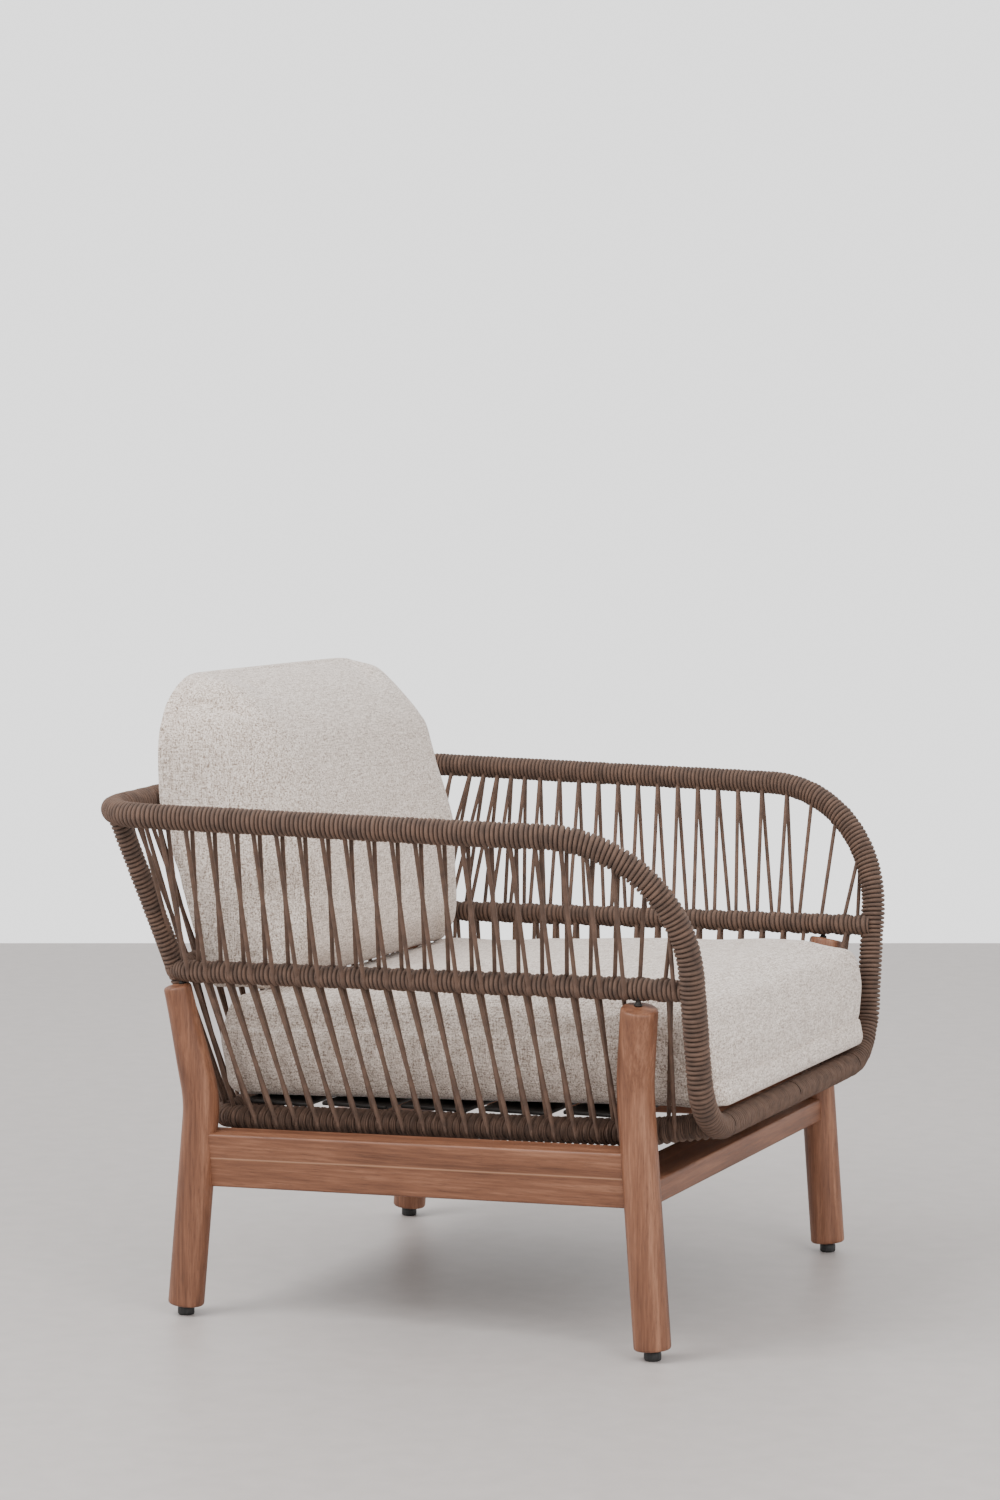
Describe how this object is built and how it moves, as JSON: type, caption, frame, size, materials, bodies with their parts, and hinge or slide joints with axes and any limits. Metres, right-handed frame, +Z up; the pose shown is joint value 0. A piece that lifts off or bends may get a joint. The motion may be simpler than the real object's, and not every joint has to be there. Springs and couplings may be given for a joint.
{
  "type": "armchair",
  "caption": "Low outdoor armchair: kinked round wooden legs and rails under a bent tube basket strung with rope, with a loose seat cushion and a loose back cushion.",
  "frame": {"origin": "on the floor, under the middle of the chair's width and depth", "axes": "+Z up; the sitter faces -Y; +X is the sitter's left"},
  "size_m": [0.8588, 0.7458, 0.757],
  "materials": {
    "wood": "oiled reddish brown hardwood, satin, with straight grain",
    "rope": "braided rope, brown taupe, matt",
    "linen": "woven linen look fabric, pale beige, matt",
    "dark_metal": "powder coat, dark brown, satin",
    "glide_plastic": "moulded, black, matt"
  },
  "bodies": {
    "chair": {"arm_tube_left": "dark_metal", "arm_tube_right": "dark_metal", "back_top_tube": "dark_metal", "corner_post_left": "dark_metal", "corner_post_right": "dark_metal", "deck_slat_1": "dark_metal", "deck_slat_2": "dark_metal", "deck_slat_3": "dark_metal", "deck_slat_4": "dark_metal", "deck_slat_5": "dark_metal", "dowel_front_rail_left": "wood", "dowel_front_rail_right": "wood", "dowel_rear_rail_left": "wood", "dowel_rear_rail_right": "wood", "dowel_side_rail_front_left": "wood", "dowel_side_rail_front_right": "wood", "dowel_side_rail_rear_left": "wood", "dowel_side_rail_rear_right": "wood", "front_rail": "wood", "front_tube": "dark_metal", "glide_front_left": "glide_plastic", "glide_front_right": "glide_plastic", "glide_rear_left": "glide_plastic", "glide_rear_right": "glide_plastic", "leg_front_left": "wood", "leg_front_right": "wood", "leg_pin_front_left": "dark_metal", "leg_pin_front_right": "dark_metal", "leg_pin_rear_left": "dark_metal", "leg_pin_rear_right": "dark_metal", "leg_rear_left": "wood", "leg_rear_right": "wood", "mid_tube_back": "dark_metal", "mid_tube_left": "dark_metal", "mid_tube_right": "dark_metal", "rear_rail": "wood", "ring_tube_back": "dark_metal", "ring_tube_left": "dark_metal", "ring_tube_right": "dark_metal", "rope_back_lower": "rope", "rope_back_upper": "rope", "rope_corner_mid_left": "rope", "rope_corner_mid_right": "rope", "rope_corner_ring_left": "rope", "rope_corner_ring_right": "rope", "rope_side_lower_left": "rope", "rope_side_lower_right": "rope", "rope_side_upper_left": "rope", "rope_side_upper_right": "rope", "side_rail_left": "wood", "side_rail_right": "wood", "wrap_arm_left": "rope", "wrap_arm_right": "rope", "wrap_back_top": "rope", "wrap_corner_post_left": "rope", "wrap_corner_post_right": "rope", "wrap_front": "rope"},
    "seat_pad": {"seat_cushion": "linen"},
    "back_pad": {"back_cushion": "linen"}
  },
  "joints": [
    {"name": "seat_cushion_lift", "type": "slide", "parent": "chair", "child": "seat_pad", "axis": [0, 0, 1], "range_m": [0, 0.25]},
    {"name": "back_cushion_lift", "type": "slide", "parent": "seat_pad", "child": "back_pad", "axis": [0, 0, 1], "range_m": [0, 0.25]}
  ]
}
